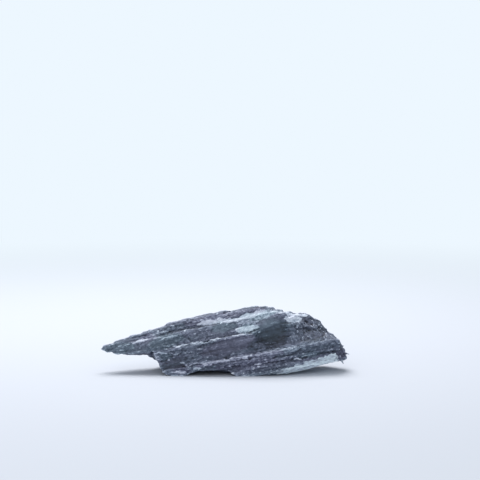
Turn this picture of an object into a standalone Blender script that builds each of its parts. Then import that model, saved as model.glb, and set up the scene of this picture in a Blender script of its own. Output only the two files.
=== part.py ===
"""One layered grey stone, lying on the ground as it was found. Units are metres, +Z is up.

The stone lies along X. Its thin tail points to -X, its broken end to +X, and its best face to -Y.
It is a pile of thin beds that rise gently towards +X and dip to the back. A point's bed height says
which bed it is in, so the ledges, grooves and terraces all follow the beds round the stone.
Every length below is in millimetres until MM turns it into metres.
"""

import math
import random
from bisect import bisect_right

import bmesh
import bpy
from mathutils import Vector, noise

MM = 0.001

NODE = "layered_rock"
STONE_GREY = (0.135, 0.140, 0.175, 1.0)

# The stone's two ends along X, and the plane of its front, where bed heights are heights above ground
TAIL_TIP = -100.0
BLUNT_END = 100.0
FRONT_PLANE = -24.0

# How the beds lie: they rise with X, fan open towards the blunt end, and dip to the back
BED_RISE = 0.165
BED_FAN = 0.0014
BED_DIP = 0.12
BED_WAVE = 0.6
BED_WAVE_SIZE = 45.0

# The crest, where the front meets the top: (x, bed height), and (x, y)
CREST_BED = [
    (-100, 43.6), (-97, 45.6), (-92, 46.6), (-84, 47.3), (-75, 48.6), (-60, 50.8), (-44, 52.3), (-20, 52.2),
    (-3, 51.6), (21, 50.3), (29, 49.1), (35.5, 46.9), (41, 44.2), (48, 41.1), (57.5, 37.4), (65.5, 35.8),
    (68.0, 33.4), (74, 30.0), (78, 26.8), (81.4, 22.4), (86.3, 17.4), (90.4, 13.8), (93, 10.4), (97, 5.4),
    (100, -0.5),
]
CREST_Y = [(-100, -9), (-60, -8), (-30, -7), (0, -5), (25, -3), (45, 0), (66, 4), (80, 6), (92, 6), (100, 4)]

# How far below the crest the front ends, where its top edge is rounded off
CREST_ROUND = 1.2

# The front face in plan, for the lower beds and for the upper ones
FRONT_LOW = [
    (-100, -8), (-60, -19), (-45, -22.5), (-20, -24.5), (20, -25), (45, -23.6), (70, -18), (93, -8), (100, -1),
]
FRONT_HIGH = [
    (-100, -11), (-92, -14.5), (-80, -16), (-57, -18.5), (-30, -20), (10, -19), (40, -15.5), (60, -11.5),
    (100, 2),
]
# How far back a bed stands from those lines: (bed height, inset)
LOW_BED = [
    (-9, 5), (-5, 1.0), (-3.4, -0.6), (0.6, -0.4), (2.0, 0.4), (4.6, 1.1), (6, 0.2), (12.2, -1.5), (13.8, 0.9),
    (22, 2.4), (30.6, 4.2),
]
HIGH_BED = [(30.6, -0.6), (31.8, 0.8), (37, 2.6), (42.6, 5.2), (44.0, 8.0), (51, 11.0)]
MIDDLE_BED = 30.9

# The back face in the same way
BACK_LOW = [(-100, -6), (-70, 9), (-52, 20), (-24, 30), (24, 33), (52, 28), (82, 22), (95, 15), (100, 9)]
BACK_HIGH = [(-100, -6), (-86, 2), (-70, 11), (-48, 19), (-10, 24), (30, 22), (62, 17), (84, 14), (100, 8)]
LOW_BACK_BED = [(4, -6), (8, -3), (20, 0), (27, 0.6), (28.4, -2.6), (36, -3.4)]
HIGH_BACK_BED = [(36, 0.8), (43, -1.4), (44.2, -4.6), (52, -7.5)]
MIDDLE_BACK_BED = 36.6
# How fast the top falls to the back, and how sharply it turns down there
TOP_TILT = 0.04
SHOULDER_TURN = 8.0

# How much of those insets each part of the stone's length has room for
ROOM = [(-100, 0.08), (-90, 0.35), (-75, 0.6), (-55, 0.85), (-30, 1.0), (86, 1.0), (100, 0.6)]

# The broken end: from here on, the front above the low ledge leans back to the crest in one rough face
BREAK_START, BREAK_FULL = 46.0, 66.0
BREAK_FOOT_BED = 14.6
BREAK_FADE = 3.0

# Height of the underside above the ground: along its front edge, its middle and its back edge
UNDER_FRONT = [
    (-100, 19.4), (-95, 17.2), (-84, 16.0), (-60, 17.4), (-57.8, 19.2), (-56.4, 17.6), (-53.8, 11.2),
    (-51.2, 5.8), (-47.8, 1.8), (-44, -0.6), (-32, -0.8), (-27, 2.0), (-20, 4.3), (-11, 4.9), (0, 4.6),
    (4.5, 3.8), (7.5, 1.4), (12, -0.6), (20, -1.0), (30, -0.7), (37, 0.1), (45, 1.1), (53, 2.0), (62, 2.7),
    (70, 4.3), (78, 6.6), (86, 8.8), (92, 9.4), (97, 8.4), (100, 9.4),
]
UNDER_MIDDLE = [
    (-100, 19.4), (-84, 15.0), (-62, 13.0), (-54, 8.0), (-46, 3.0), (-38, 1.2), (-20, 3.0), (-6, 1.0),
    (0, -0.9), (26, -1.0), (34, 0.6), (50, 3.0), (70, 6.0), (90, 9.6), (100, 10.0),
]
UNDER_BACK = [
    (-100, 19.4), (-84, 16.4), (-66, 14.0), (-52, 9.0), (-38, 4.4), (-14, 1.0), (-6, -0.8), (20, -1.0),
    (30, 1.2), (50, 5.0), (70, 8.4), (90, 10.4), (100, 10.0),
]

# Relief of the beds: their thickness, and how far one stands out past the next
SEED = 11
LOWEST_BED, HIGHEST_BED = -14.0, 66.0
THIN_BED, THICK_BED = 1.4, 4.4
BED_STEP = 1.65
STEP_LENGTH = 30.0
STEP_WIDTH = 0.3
# How boldly the beds step, by bed height
BOLDNESS = [(-9, 0.9), (4, 1.2), (13, 1.1), (15, 0.6), (29, 0.7), (31, 1.0), (45, 1.0), (49, 0.45)]

# Terraces on the top, where the beds' surfaces are bare: how far their edges wander, and how full they are
TERRACE_WANDER = 1.6
TERRACE_SIZE = 22.0
TERRACE_EDGE = 0.24
TERRACE_DEPTH = 0.8
UNDERSIDE_TERRACES = 0.3

# Flat breaks: on a bed's edge, over the whole stone, and on the broken end
CHIP_DEPTH, CHIP_SIZE = 2.2, 12.0
BREAK_DEPTH, BREAK_SIZE = 1.5, 16.0
END_DEPTH, END_SIZE = 2.6, 6.5
# How much of the steps and terraces the broken end keeps
END_STEPS, END_TERRACES = 0.5, 0.2
# The grain of the stone: depth, size, and the noise's gain, scale step and octaves
GRAIN_DEPTH, GRAIN_SIZE = 0.35, 4.0
GRAIN_KIND = (0.9, 2.1, 4)
# Where the noise is read: far enough apart for each bed, each break and each part of a tilt to differ
STEP_APART, CHIP_APART, TILT_SPREAD = 7.31, 3.77, 7.7
TILT_PLACES = (Vector((0, 0, 0)), Vector((31, 7, 19)), Vector((11, 43, 5)))

# Shell-shaped chips knocked off the stone: centre, radii along X, Y and up the face, and which way they bite
BACKWARDS = Vector((0, 1, 0))
SLANTWISE = Vector((-0.16, 0.985, -0.06))
INWARDS = Vector((0, 0.75, -0.66))
FORWARDS = Vector((0, -1, 0))
CHIPS = [
    (Vector((41, -20.0, 31)), Vector((18, 5.0, 10.5)), SLANTWISE),
    (Vector((19, -19.5, 37.5)), Vector((9, 3.4, 4.2)), INWARDS),
    (Vector((57, -7.0, 48.5)), Vector((8, 5.0, 5.0)), INWARDS),
    (Vector((-8, -16.0, 43.5)), Vector((12, 3.2, 3.0)), INWARDS),
    (Vector((18, -14.5, 48.0)), Vector((14, 3.4, 2.8)), INWARDS),
    (Vector((-66, -19.0, 28)), Vector((10, 3.0, 5.0)), BACKWARDS),
    (Vector((-24, 34, 17)), Vector((20, 7.0, 11)), FORWARDS),
    (Vector((14, 30, 38)), Vector((17, 7.0, 8)), FORWARDS),
    (Vector((60, 30, 24)), Vector((19, 7.0, 12)), FORWARDS),
]

# Splinters at the broken end: root, tip and thickness; and how blunt a tip is
SPLINTERS = [
    (Vector((93, -7, 13)), Vector((97, -9, 6.5)), 3.4),
    (Vector((93, 1, 15)), Vector((102, 0, 13.5)), 4.0),
    (Vector((92, 8, 18)), Vector((99, 11, 19)), 5.0),
]
SPLINTER_TIP = 0.2

# Resolution of the modelled surface, and of the finished solid
ALONG = 200
AROUND = 200
VOXEL = 0.9
TRIANGLES = 9400
SLIVER = 0.02

# Where the front, top, back and underside begin and end on the way round the stone
FRONT_SHARE, TOP_SHARE, BACK_SHARE = 0.34, 0.50, 0.78


def along(points, x):
    """The value at x on the straight runs between (x, value) points, held level past both ends."""
    if x <= points[0][0]:
        return points[0][1]
    for (x0, v0), (x1, v1) in zip(points, points[1:]):
        if x <= x1:
            return v0 + (v1 - v0) * (x - x0) / (x1 - x0)
    return points[-1][1]


def smooth(t):
    """0 to 1 with a level start and end."""
    t = min(1.0, max(0.0, t))
    return t * t * (3 - 2 * t)


def bed_height(x, y, z):
    """Which bed a point is in, as the bed's height above the ground at x = 0 on the front."""
    return (z - BED_RISE * x + BED_DIP * (y - FRONT_PLANE)) / (1 + BED_FAN * x)


def height_in_bed(bed, x, y):
    """The z of a bed over the point x, y."""
    return bed * (1 + BED_FAN * x) + BED_RISE * x - BED_DIP * (y - FRONT_PLANE)


def front_y(x, bed):
    """How far forward the front face comes in a bed."""
    room = along(ROOM, x)
    if bed < MIDDLE_BED:
        y = along(FRONT_LOW, x) + along(LOW_BED, bed) * room
    else:
        y = along(FRONT_HIGH, x) + along(HIGH_BED, bed) * room
    broken = smooth((x - BREAK_START) / (BREAK_FULL - BREAK_START))
    crest = along(CREST_BED, x)
    if broken and BREAK_FOOT_BED < bed and BREAK_FOOT_BED < crest:
        foot = along(FRONT_LOW, x) + along(LOW_BED, BREAK_FOOT_BED) * room
        rise = (bed - BREAK_FOOT_BED) / (crest - BREAK_FOOT_BED)
        y += (foot + (along(CREST_Y, x) - foot) * rise - y) * broken
    return y


def back_y(x, bed):
    """How far back the back face comes in a bed."""
    room = along(ROOM, x)
    if bed < MIDDLE_BACK_BED:
        return along(BACK_LOW, x) + along(LOW_BACK_BED, bed) * room
    return along(BACK_HIGH, x) + along(HIGH_BACK_BED, bed) * room


def foot_bed(x, z, y_at):
    """The bed that a face stands in where it meets the underside."""
    bed = bed_height(x, y_at(x, 0.0), z)
    return bed_height(x, y_at(x, bed), z)


def section(x):
    """The stone's outline across X: its front, top, back and underside, each from 0 to 1 as (y, z)."""
    crest_bed = along(CREST_BED, x)
    crest_y = along(CREST_Y, x)
    low_bed = foot_bed(x, along(UNDER_FRONT, x), front_y)
    back_bed = foot_bed(x, along(UNDER_BACK, x), back_y)
    middle_z = along(UNDER_MIDDLE, x)
    front_top = crest_bed - CREST_ROUND * along(ROOM, x)

    def front(t):
        bed = low_bed + (front_top - low_bed) * t
        y = min(front_y(x, bed), crest_y)
        return y, height_in_bed(bed, x, y)

    shoulder_y = max(back_y(x, crest_bed), crest_y + 1.0)

    def top(t):
        start = front(1)[0]
        y = start + (shoulder_y - start) * t
        rounding = smooth((y - start) / max(0.5, crest_y - start))
        bed = front_top + (crest_bed - front_top) * rounding - TOP_TILT * max(0.0, y - crest_y)
        return y, height_in_bed(bed, x, y)

    def back(t):
        start = crest_bed - TOP_TILT * (shoulder_y - crest_y)
        bed = start + (back_bed - start) * t
        y = shoulder_y + (max(back_y(x, bed), shoulder_y) - shoulder_y) * min(1.0, t * SHOULDER_TURN)
        return y, height_in_bed(bed, x, y)

    def under(t):
        (y0, z0), (y1, z1) = back(1), front(0)
        lift = middle_z - (z0 + z1) / 2
        return y0 + (y1 - y0) * t, z0 + (z1 - z0) * t + lift * math.sin(t * math.pi)

    return front, top, back, under


def skin_point(sides, share):
    """The (y, z) a share of the way round the stone, from the front's foot over the top and back."""
    stops = (0.0, FRONT_SHARE, TOP_SHARE, BACK_SHARE, 1.0)
    for side, start, end in zip(sides, stops, stops[1:]):
        if share <= end:
            return side((share - start) / (end - start))
    return sides[0](0)


def wrap_skin():
    """A sheet of quads wrapped round the stone's sections and closed at both ends."""
    bm = bmesh.new()
    bmesh.ops.create_grid(bm, x_segments=ALONG, y_segments=AROUND, size=1.0)
    sections = {}
    for vert in bm.verts:
        x = TAIL_TIP + (BLUNT_END - TAIL_TIP) * (vert.co.x + 1) / 2
        key = round(x, 3)
        if key not in sections:
            sections[key] = section(x)
        share = round((vert.co.y + 1) / 2, 4) % 1.0
        vert.co = Vector((x, *skin_point(sections[key], share)))
    bmesh.ops.remove_doubles(bm, verts=bm.verts, dist=0.001)
    bmesh.ops.holes_fill(bm, edges=[e for e in bm.edges if e.is_boundary], sides=0)
    bmesh.ops.recalc_face_normals(bm, faces=bm.faces)
    if bm.calc_volume(signed=True) < 0:
        bmesh.ops.reverse_faces(bm, faces=bm.faces)
    return bm


def bed_edges():
    """The heights at which one bed ends and the next begins."""
    dice = random.Random(SEED)
    edges = [LOWEST_BED]
    while edges[-1] < HIGHEST_BED:
        edges.append(edges[-1] + dice.uniform(THIN_BED, THICK_BED))
    return edges


def facet(place):
    """The height of a flat tilted break at a place, with one break to each unit of length or so."""
    middle = noise.voronoi(place)[1][0]
    tilt = Vector([noise.noise(middle * TILT_SPREAD + apart) for apart in TILT_PLACES])
    return (place - middle).dot(tilt)


def stand_out(number, point):
    """How far one bed's broken edge stands out at a point."""
    place = Vector((point.x / STEP_LENGTH, point.y / STEP_LENGTH, number * STEP_APART))
    chip = Vector((point.x / CHIP_SIZE, point.y / CHIP_SIZE, number * CHIP_APART))
    return BED_STEP * noise.noise(place) + CHIP_DEPTH * facet(chip)


def step_out(point, bed, edges, normal, up):
    """How a point on a bed's broken edge moves, in the plane of the bed."""
    number = min(max(bisect_right(edges, bed), 1), len(edges) - 2)
    to_next = smooth((bed - edges[number]) / STEP_WIDTH + 1)
    out = stand_out(number, point) * (1 - to_next) + stand_out(number + 1, point) * to_next
    return (normal - up * normal.dot(up)) * out * along(BOLDNESS, bed)


def terrace(point, bed, edges, normal, up):
    """How a point on bare bed surfaces moves, up or down to its own bed's surface."""
    facing_up = normal.dot(up)
    level = abs(facing_up) ** 3 * (1 if facing_up > 0 else UNDERSIDE_TERRACES)
    wander = bed + TERRACE_WANDER * noise.noise(point / TERRACE_SIZE)
    number = min(max(bisect_right(edges, wander), 1), len(edges) - 2)
    thickness = edges[number] - edges[number - 1]
    across = (wander - edges[number - 1]) / thickness
    snap = smooth((across - 0.5) / TERRACE_EDGE + 0.5) - across
    return up * snap * thickness * level * TERRACE_DEPTH


def weather(bm, edges):
    """Steps the surface at each bed, terraces what lies along the beds, and roughens it all."""
    bm.normal_update()
    up = Vector((-BED_RISE, BED_DIP, 1)).normalized()
    moves = []
    for vert in bm.verts:
        point, normal = vert.co, vert.normal
        bed = bed_height(*point) + BED_WAVE * noise.noise(point / BED_WAVE_SIZE)
        broken = smooth((point.x - BREAK_START) / (BREAK_FULL - BREAK_START))
        broken *= smooth((bed - BREAK_FOOT_BED) / BREAK_FADE + 0.5)
        grain = GRAIN_DEPTH * noise.fractal(point / GRAIN_SIZE, *GRAIN_KIND)
        grain += BREAK_DEPTH * facet(point / BREAK_SIZE) + broken * END_DEPTH * facet(point / END_SIZE)
        steps = step_out(point, bed, edges, normal, up) * (1 + (END_STEPS - 1) * broken)
        terraces = terrace(point, bed, edges, normal, up) * (1 + (END_TERRACES - 1) * broken)
        moves.append(steps + terraces + normal * grain)
    for vert, move in zip(bm.verts, moves):
        vert.co += move


def knock_off_chips(bm):
    """Pushes what stands inside each chip's shell back onto it."""
    slope = math.atan(BED_RISE)
    for centre, radii, bite in CHIPS:
        for vert in bm.verts:
            away = vert.co - centre
            along_bed = away.x * math.cos(slope) + away.z * math.sin(slope)
            across_bed = away.z * math.cos(slope) - away.x * math.sin(slope)
            flat = (along_bed / radii.x) ** 2 + (across_bed / radii.z) ** 2
            if flat >= 1:
                continue
            reach = radii.y * math.sqrt(1 - flat)
            deep = away.dot(bite)
            if -reach - radii.y < deep < reach:
                vert.co += bite * (reach - deep)


def add_splinters(bm):
    """Thin four-sided spikes that the broken end keeps."""
    for root, tip, thick in SPLINTERS:
        way = tip - root
        made = bmesh.ops.create_cone(
            bm, cap_ends=True, segments=4, radius1=thick / 2, radius2=SPLINTER_TIP, depth=way.length,
        )
        turn = Vector((0, 0, 1)).rotation_difference(way)
        bmesh.ops.rotate(bm, verts=made["verts"], matrix=turn.to_matrix())
        bmesh.ops.translate(bm, verts=made["verts"], vec=(root + tip) / 2)


def drop_crumbs(bm):
    """Keeps the stone itself and deletes any loose crumb beside it."""
    kept = {max(bm.verts, key=lambda v: v.co.z)}
    found = kept
    while found:
        found = {e.other_vert(v) for v in found for e in v.link_edges} - kept
        kept |= found
    bmesh.ops.delete(bm, geom=[v for v in bm.verts if v not in kept], context="VERTS")


def evaluated(obj):
    """A copy of an object's mesh with its modifiers applied."""
    graph = bpy.context.evaluated_depsgraph_get()
    return bpy.data.meshes.new_from_object(obj.evaluated_get(graph))


def even_out(bm):
    """The same form as fewer, larger flat facets: rebuilt on an even grid, then thinned."""
    mesh = bpy.data.meshes.new("rough")
    bm.to_mesh(mesh)
    bm.free()
    rough = bpy.data.objects.new("rough", mesh)
    bpy.context.scene.collection.objects.link(rough)
    remesh = rough.modifiers.new("even", "REMESH")
    remesh.mode = "VOXEL"
    remesh.voxel_size = VOXEL
    dense = evaluated(rough)
    count = sum(len(p.vertices) - 2 for p in dense.polygons)
    thin = rough.modifiers.new("thin", "DECIMATE")
    thin.ratio = TRIANGLES / count
    mesh = evaluated(rough)
    bpy.data.objects.remove(rough)
    result = bmesh.new()
    result.from_mesh(mesh)
    return result


def cut_flat_base(bm):
    """Cuts the foot off level with the ground, which leaves the flat spots that the stone rests on."""
    everything = bm.verts[:] + bm.edges[:] + bm.faces[:]
    cut = bmesh.ops.bisect_plane(bm, geom=everything, plane_co=(0, 0, 0), plane_no=(0, 0, -1), clear_outer=True)
    rim = [e for e in cut["geom_cut"] if isinstance(e, bmesh.types.BMEdge)]
    bmesh.ops.holes_fill(bm, edges=rim, sides=0)
    bmesh.ops.dissolve_degenerate(bm, dist=SLIVER, edges=bm.edges)
    bmesh.ops.triangulate(bm, faces=bm.faces)


def centre_on_base(bm):
    """Puts the origin under the middle of the stone's box, at the ground."""
    xs = [v.co.x for v in bm.verts]
    ys = [v.co.y for v in bm.verts]
    middle = Vector(((min(xs) + max(xs)) / 2, (min(ys) + max(ys)) / 2, 0))
    bmesh.ops.translate(bm, vec=-middle, verts=bm.verts)


def stone_material():
    material = bpy.data.materials.new("banded_grey_stone")
    material.use_nodes = True
    shader = material.node_tree.nodes["Principled BSDF"]
    shader.inputs["Base Color"].default_value = STONE_GREY
    shader.inputs["Roughness"].default_value = 0.7
    shader.inputs["Metallic"].default_value = 0.0
    return material


def make_stone():
    bm = wrap_skin()
    weather(bm, bed_edges())
    knock_off_chips(bm)
    add_splinters(bm)
    bm = even_out(bm)
    drop_crumbs(bm)
    cut_flat_base(bm)
    centre_on_base(bm)
    bmesh.ops.scale(bm, vec=(MM, MM, MM), verts=bm.verts)
    mesh = bpy.data.meshes.new(NODE)
    bm.to_mesh(mesh)
    bm.free()
    mesh.materials.append(stone_material())
    stone = bpy.data.objects.new(NODE, mesh)
    bpy.context.scene.collection.objects.link(stone)
    return stone


for old in list(bpy.data.objects):
    bpy.data.objects.remove(old)
make_stone()
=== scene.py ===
"""How one layered grey stone looks, with the floor, light and camera that show it.

The stone's solid gives its place and size. Its fine surface is made here from the same sections and the
same beds, at a finer scale, and coloured as banded stone.
Lengths are in millimetres until MM turns them into metres. The tail points to -X, the broken end to +X,
the ledged front to -Y, and a point's bed height says which of the stone's thin beds it is in.
"""

import math
import random
from bisect import bisect_right

import bmesh
import bpy
import numpy as np
from mathutils import Matrix, Vector, noise


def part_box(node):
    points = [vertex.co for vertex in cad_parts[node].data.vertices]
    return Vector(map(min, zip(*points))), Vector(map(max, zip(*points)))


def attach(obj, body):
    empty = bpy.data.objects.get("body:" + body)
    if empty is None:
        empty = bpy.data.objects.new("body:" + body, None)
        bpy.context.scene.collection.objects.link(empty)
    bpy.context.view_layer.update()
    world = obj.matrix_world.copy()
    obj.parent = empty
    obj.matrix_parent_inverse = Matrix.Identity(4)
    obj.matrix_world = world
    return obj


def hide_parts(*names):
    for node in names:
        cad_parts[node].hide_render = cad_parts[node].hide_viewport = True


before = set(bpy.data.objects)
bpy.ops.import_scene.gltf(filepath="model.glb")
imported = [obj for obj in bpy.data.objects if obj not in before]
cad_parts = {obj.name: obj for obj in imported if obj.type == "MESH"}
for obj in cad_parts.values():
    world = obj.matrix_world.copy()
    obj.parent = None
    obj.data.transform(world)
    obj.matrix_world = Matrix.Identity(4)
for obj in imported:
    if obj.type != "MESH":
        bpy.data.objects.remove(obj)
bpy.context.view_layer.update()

MM = 0.001
NODE = "layered_rock"

# The stone's two ends along X, and the plane of its front, where bed heights are heights above ground
TAIL_TIP = -100.0
BLUNT_END = 100.0
FRONT_PLANE = -24.0

# How the beds lie: they rise with X, fan open towards the blunt end, and dip to the back
BED_RISE = 0.165
BED_FAN = 0.0014
BED_DIP = 0.12
BED_WAVE = 0.6
BED_WAVE_SIZE = 45.0

# The crest, where the front meets the top: (x, bed height), and (x, y)
CREST_BED = [
    (-100, 43.6), (-97, 45.6), (-92, 46.6), (-84, 47.3), (-75, 48.6), (-60, 50.8), (-44, 52.3), (-20, 52.2),
    (-3, 51.6), (21, 50.3), (29, 49.1), (35.5, 46.9), (41, 44.2), (48, 41.1), (57.5, 37.4), (65.5, 35.8),
    (68.0, 33.4), (74, 30.0), (78, 26.8), (81.4, 22.4), (86.3, 17.4), (90.4, 13.8), (93, 10.4), (97, 5.4),
    (100, -0.5),
]
CREST_Y = [(-100, -9), (-60, -8), (-30, -7), (0, -5), (25, -3), (45, 0), (66, 4), (80, 6), (92, 6), (100, 4)]
CREST_ROUND = 1.2
# How far behind the crest the front's marks spill over, and over what depth they fade
CREST_SPILL, CREST_FADE = 3, 4

# The front face in plan, for the lower beds and for the upper ones, and how far back each bed stands
FRONT_LOW = [
    (-100, -8), (-60, -19), (-45, -22.5), (-20, -24.5), (20, -25), (45, -23.6), (70, -18), (93, -8),
    (100, -1),
]
FRONT_HIGH = [
    (-100, -11), (-92, -14.5), (-80, -16), (-57, -18.5), (-30, -20), (10, -19), (40, -15.5), (60, -11.5),
    (100, 2),
]
LOW_BED = [
    (-9, 5), (-5, 1.0), (-3.4, -0.6), (0.6, -0.4), (2.0, 0.4), (4.6, 1.3), (6, 0.2), (12.5, -1.6),
    (13.6, 0.8), (22, 2.3), (28.4, 3.2), (29.4, 2.5), (30.6, 2.7),
]
HIGH_BED = [(30.6, -0.6), (31.8, 0.8), (37, 2.6), (42.6, 5.2), (44.0, 8.0), (51, 11.0)]
MIDDLE_BED = 30.9

# The back face in the same way
BACK_LOW = [(-100, -6), (-70, 9), (-52, 20), (-24, 30), (24, 33), (52, 28), (82, 22), (95, 15), (100, 9)]
BACK_HIGH = [(-100, -6), (-86, 2), (-70, 11), (-48, 19), (-10, 24), (30, 22), (62, 17), (84, 14), (100, 8)]
LOW_BACK_BED = [(4, -6), (8, -3), (20, 0), (27, 0.6), (28.4, -2.6), (36, -3.4)]
HIGH_BACK_BED = [(36, 0.8), (43, -1.4), (44.2, -4.6), (52, -7.5)]
MIDDLE_BACK_BED = 36.6
TOP_TILT = 0.04
SHOULDER_TURN = 8.0

# How much of those insets each part of the stone's length has room for
ROOM = [(-100, 0.08), (-90, 0.35), (-75, 0.6), (-55, 0.85), (-30, 1.0), (86, 1.0), (100, 0.6)]

# The broken end: from here on, the front above the low ledge leans back to the crest in one rough face
BREAK_START, BREAK_FULL = 46.0, 66.0
BREAK_FOOT_BED = 14.6
BREAK_FADE = 3.0

# Height of the underside above the ground: along its front edge, its middle and its back edge
UNDER_FRONT = [
    (-100, 19.4), (-95, 17.2), (-84, 16.0), (-60, 17.8), (-58.0, 19.6), (-56.4, 18.4), (-53.8, 11.4),
    (-51.2, 5.8), (-47.8, 1.8), (-44, -0.6), (-32, -0.8), (-27, 2.0), (-20, 4.3), (-11, 4.9), (0, 4.6),
    (4.5, 3.8), (7.5, 1.4), (12, -0.6), (20, -1.0), (30, -0.7), (37, 0.1), (45, 1.1), (53, 2.0), (62, 2.7),
    (70, 4.3), (78, 6.6), (86, 8.8), (92, 9.4), (97, 8.4), (100, 9.4),
]
UNDER_MIDDLE = [
    (-100, 19.4), (-84, 15.0), (-62, 13.0), (-54, 8.0), (-46, 3.0), (-38, 1.2), (-20, 3.0), (-6, 1.0),
    (0, -0.9), (26, -1.0), (34, 0.6), (50, 3.0), (70, 6.0), (90, 9.6), (100, 10.0),
]
UNDER_BACK = [
    (-100, 19.4), (-84, 16.4), (-66, 14.0), (-52, 9.0), (-38, 4.4), (-14, 1.0), (-6, -0.8), (20, -1.0),
    (30, 1.2), (50, 5.0), (70, 8.4), (90, 10.4), (100, 10.0),
]

# Relief of the beds: their thickness, and how far one stands out past the next
SEED = 11
LOWEST_BED, HIGHEST_BED = -14.0, 66.0
THIN_BED, THICK_BED = 1.4, 4.4
BED_STEP = 1.65
STEP_LENGTH = 30.0
STEP_WIDTH = 0.3
BOLDNESS = [(-9, 0.8), (4, 1.1), (13, 1.0), (15, 0.45), (28, 0.45), (31, 0.8), (45, 0.9), (49, 0.45)]

# Terraces on the top, where the beds' surfaces are bare: how far their edges wander, and how full they are
TERRACE_WANDER = 1.6
TERRACE_SIZE = 22.0
TERRACE_EDGE = 0.24
TERRACE_DEPTH = 0.8
UNDERSIDE_TERRACES = 0.3
TERRACE_LEVELNESS = 3

# Flat breaks: on a bed's edge, where they slant this way and that, over the stone, and on the broken end
CHIP_DEPTH, CHIP_SIZE, CHIP_SLANT = 1.7, 14.0, 0.9
BREAK_DEPTH, BREAK_SIZE = 1.5, 16.0
END_DEPTH, END_SIZE = 2.6, 6.5
END_STEPS, END_TERRACES = 0.5, 0.2
GRAIN_DEPTH, GRAIN_SIZE = 0.35, 4.0
GRAIN_KIND = (0.9, 2.1, 4)
# How much of all this relief the smooth faces lose
CALMING = 0.8
# Steps keep the noise of one bed, break or tilt apart from the next
STEP_APART, CHIP_APART, TILT_SPREAD = 7.31, 3.77, 7.7
TILT_PLACES = (Vector((0, 0, 0)), Vector((31, 7, 19)), Vector((11, 43, 5)))

# Shell-shaped chips knocked off the stone: centre, radii along X, Y and up the face, and which way they bite
BACKWARDS = Vector((0, 1, 0))
SLANTWISE = Vector((-0.16, 0.985, -0.06))
INWARDS = Vector((0, 0.75, -0.66))
FORWARDS = Vector((0, -1, 0))
CHIPS = [
    (Vector((40, -19.5, 34)), Vector((19, 5.4, 15)), SLANTWISE),
    (Vector((19, -19.5, 37.5)), Vector((9, 3.4, 4.2)), INWARDS),
    (Vector((57, -7.0, 48.5)), Vector((8, 5.0, 5.0)), INWARDS),
    (Vector((-8, -16.0, 43.5)), Vector((12, 3.2, 3.0)), INWARDS),
    (Vector((18, -14.5, 48.0)), Vector((14, 3.4, 2.8)), INWARDS),
    (Vector((-66, -19.0, 28)), Vector((10, 3.0, 5.0)), BACKWARDS),
    (Vector((-24, 34, 17)), Vector((20, 7.0, 11)), FORWARDS),
    (Vector((14, 30, 38)), Vector((17, 7.0, 8)), FORWARDS),
    (Vector((60, 30, 24)), Vector((19, 7.0, 12)), FORWARDS),
]
# How steeply a chip's rim falls off
CHIP_SOFTNESS = 1.3

# Splinters at the broken end: root, tip and thickness; and how blunt a tip is
SPLINTERS = [
    (Vector((93, -7, 13)), Vector((97, -9, 6.5)), 3.4),
    (Vector((93, 1, 15)), Vector((102, 0, 13.5)), 4.0),
    (Vector((92, 8, 18)), Vector((99, 11, 19)), 5.0),
]
SPLINTER_TIP = 0.2

# Parts of the front are marked by lens-shaped strokes in (x, bed height), each with its start, end, half
# width and strength. These say how wide a stroke's ends are, and how steeply its edge falls off.
STROKE_END, STROKE_EDGE = 0.5, 1.8

# Strokes where the front broke smooth
CALM_FACES = [
    ((33.0, 34.0), (44.0, 22.0), 15.0, 0.95),
    ((-14.0, 22.0), (20.0, 24.0), 9.0, 0.7),
    ((-12.0, 37.5), (8.0, 37.0), 5.5, 0.6),
    ((-46.0, 17.0), (-36.0, 19.0), 8.0, 0.6),
    ((-62.0, 41.0), (-40.0, 37.0), 6.0, 0.4),
    ((-20.0, 46.2), (4.0, 44.5), 3.0, 0.7),
    ((5.0, 42.4), (34.0, 44.0), 3.4, 0.7),
    ((49.0, 36.2), (62.0, 32.0), 4.0, 0.7),
]

# Resolution of the modelled surface, and of the finished piece
ALONG = 420
AROUND = 420
VOXEL = 0.48
TRIANGLES = 194000
WELD, SLIVER = 0.001, 0.02
FRONT_SHARE, TOP_SHARE, BACK_SHARE = 0.34, 0.50, 0.78

# Fine relief: thin beds, their depth and how long one keeps it, small blocks broken along the beds, the
# hackly end's breaks, and pits
LAMINA = 1.5
LAMINA_DEPTH, LAMINA_LENGTH = 0.16, 9.0
BLOCK_DEPTH, BLOCK_LENGTH, BLOCK_HEIGHT = 0.9, 3.6, 1.9
# The tail is thin-bedded instead: over this run of X its blocks fade out and its thin beds stand out
TAIL_THICK, TAIL_THIN = -60.0, -76.0
TAIL_BLOCKS, TAIL_LAMINAE = 0.25, 3.2
HACKLE_DEPTH, HACKLE_SIZE = 0.9, 2.6
PIT_DEPTH, PIT_SIZE = 0.16, 1.5
PIT_KIND = (0.8, 2.2, 3)
# Folds sharper than this keep a crisp edge
CRISP_FOLD = math.radians(34)


def along(points, x):
    """The value at x on the straight runs between (x, value) points, held level past both ends."""
    if x <= points[0][0]:
        return points[0][1]
    for (x0, v0), (x1, v1) in zip(points, points[1:]):
        if x <= x1:
            return v0 + (v1 - v0) * (x - x0) / (x1 - x0)
    return points[-1][1]


def smooth(t):
    """0 to 1 with a level start and end."""
    t = min(1.0, max(0.0, t))
    return t * t * (3 - 2 * t)


def bed_height(x, y, z):
    """Which bed a point is in, as the bed's height above the ground at x = 0 on the front."""
    return (z - BED_RISE * x + BED_DIP * (y - FRONT_PLANE)) / (1 + BED_FAN * x)


def height_in_bed(bed, x, y):
    """The z of a bed over the point x, y."""
    return bed * (1 + BED_FAN * x) + BED_RISE * x - BED_DIP * (y - FRONT_PLANE)


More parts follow.
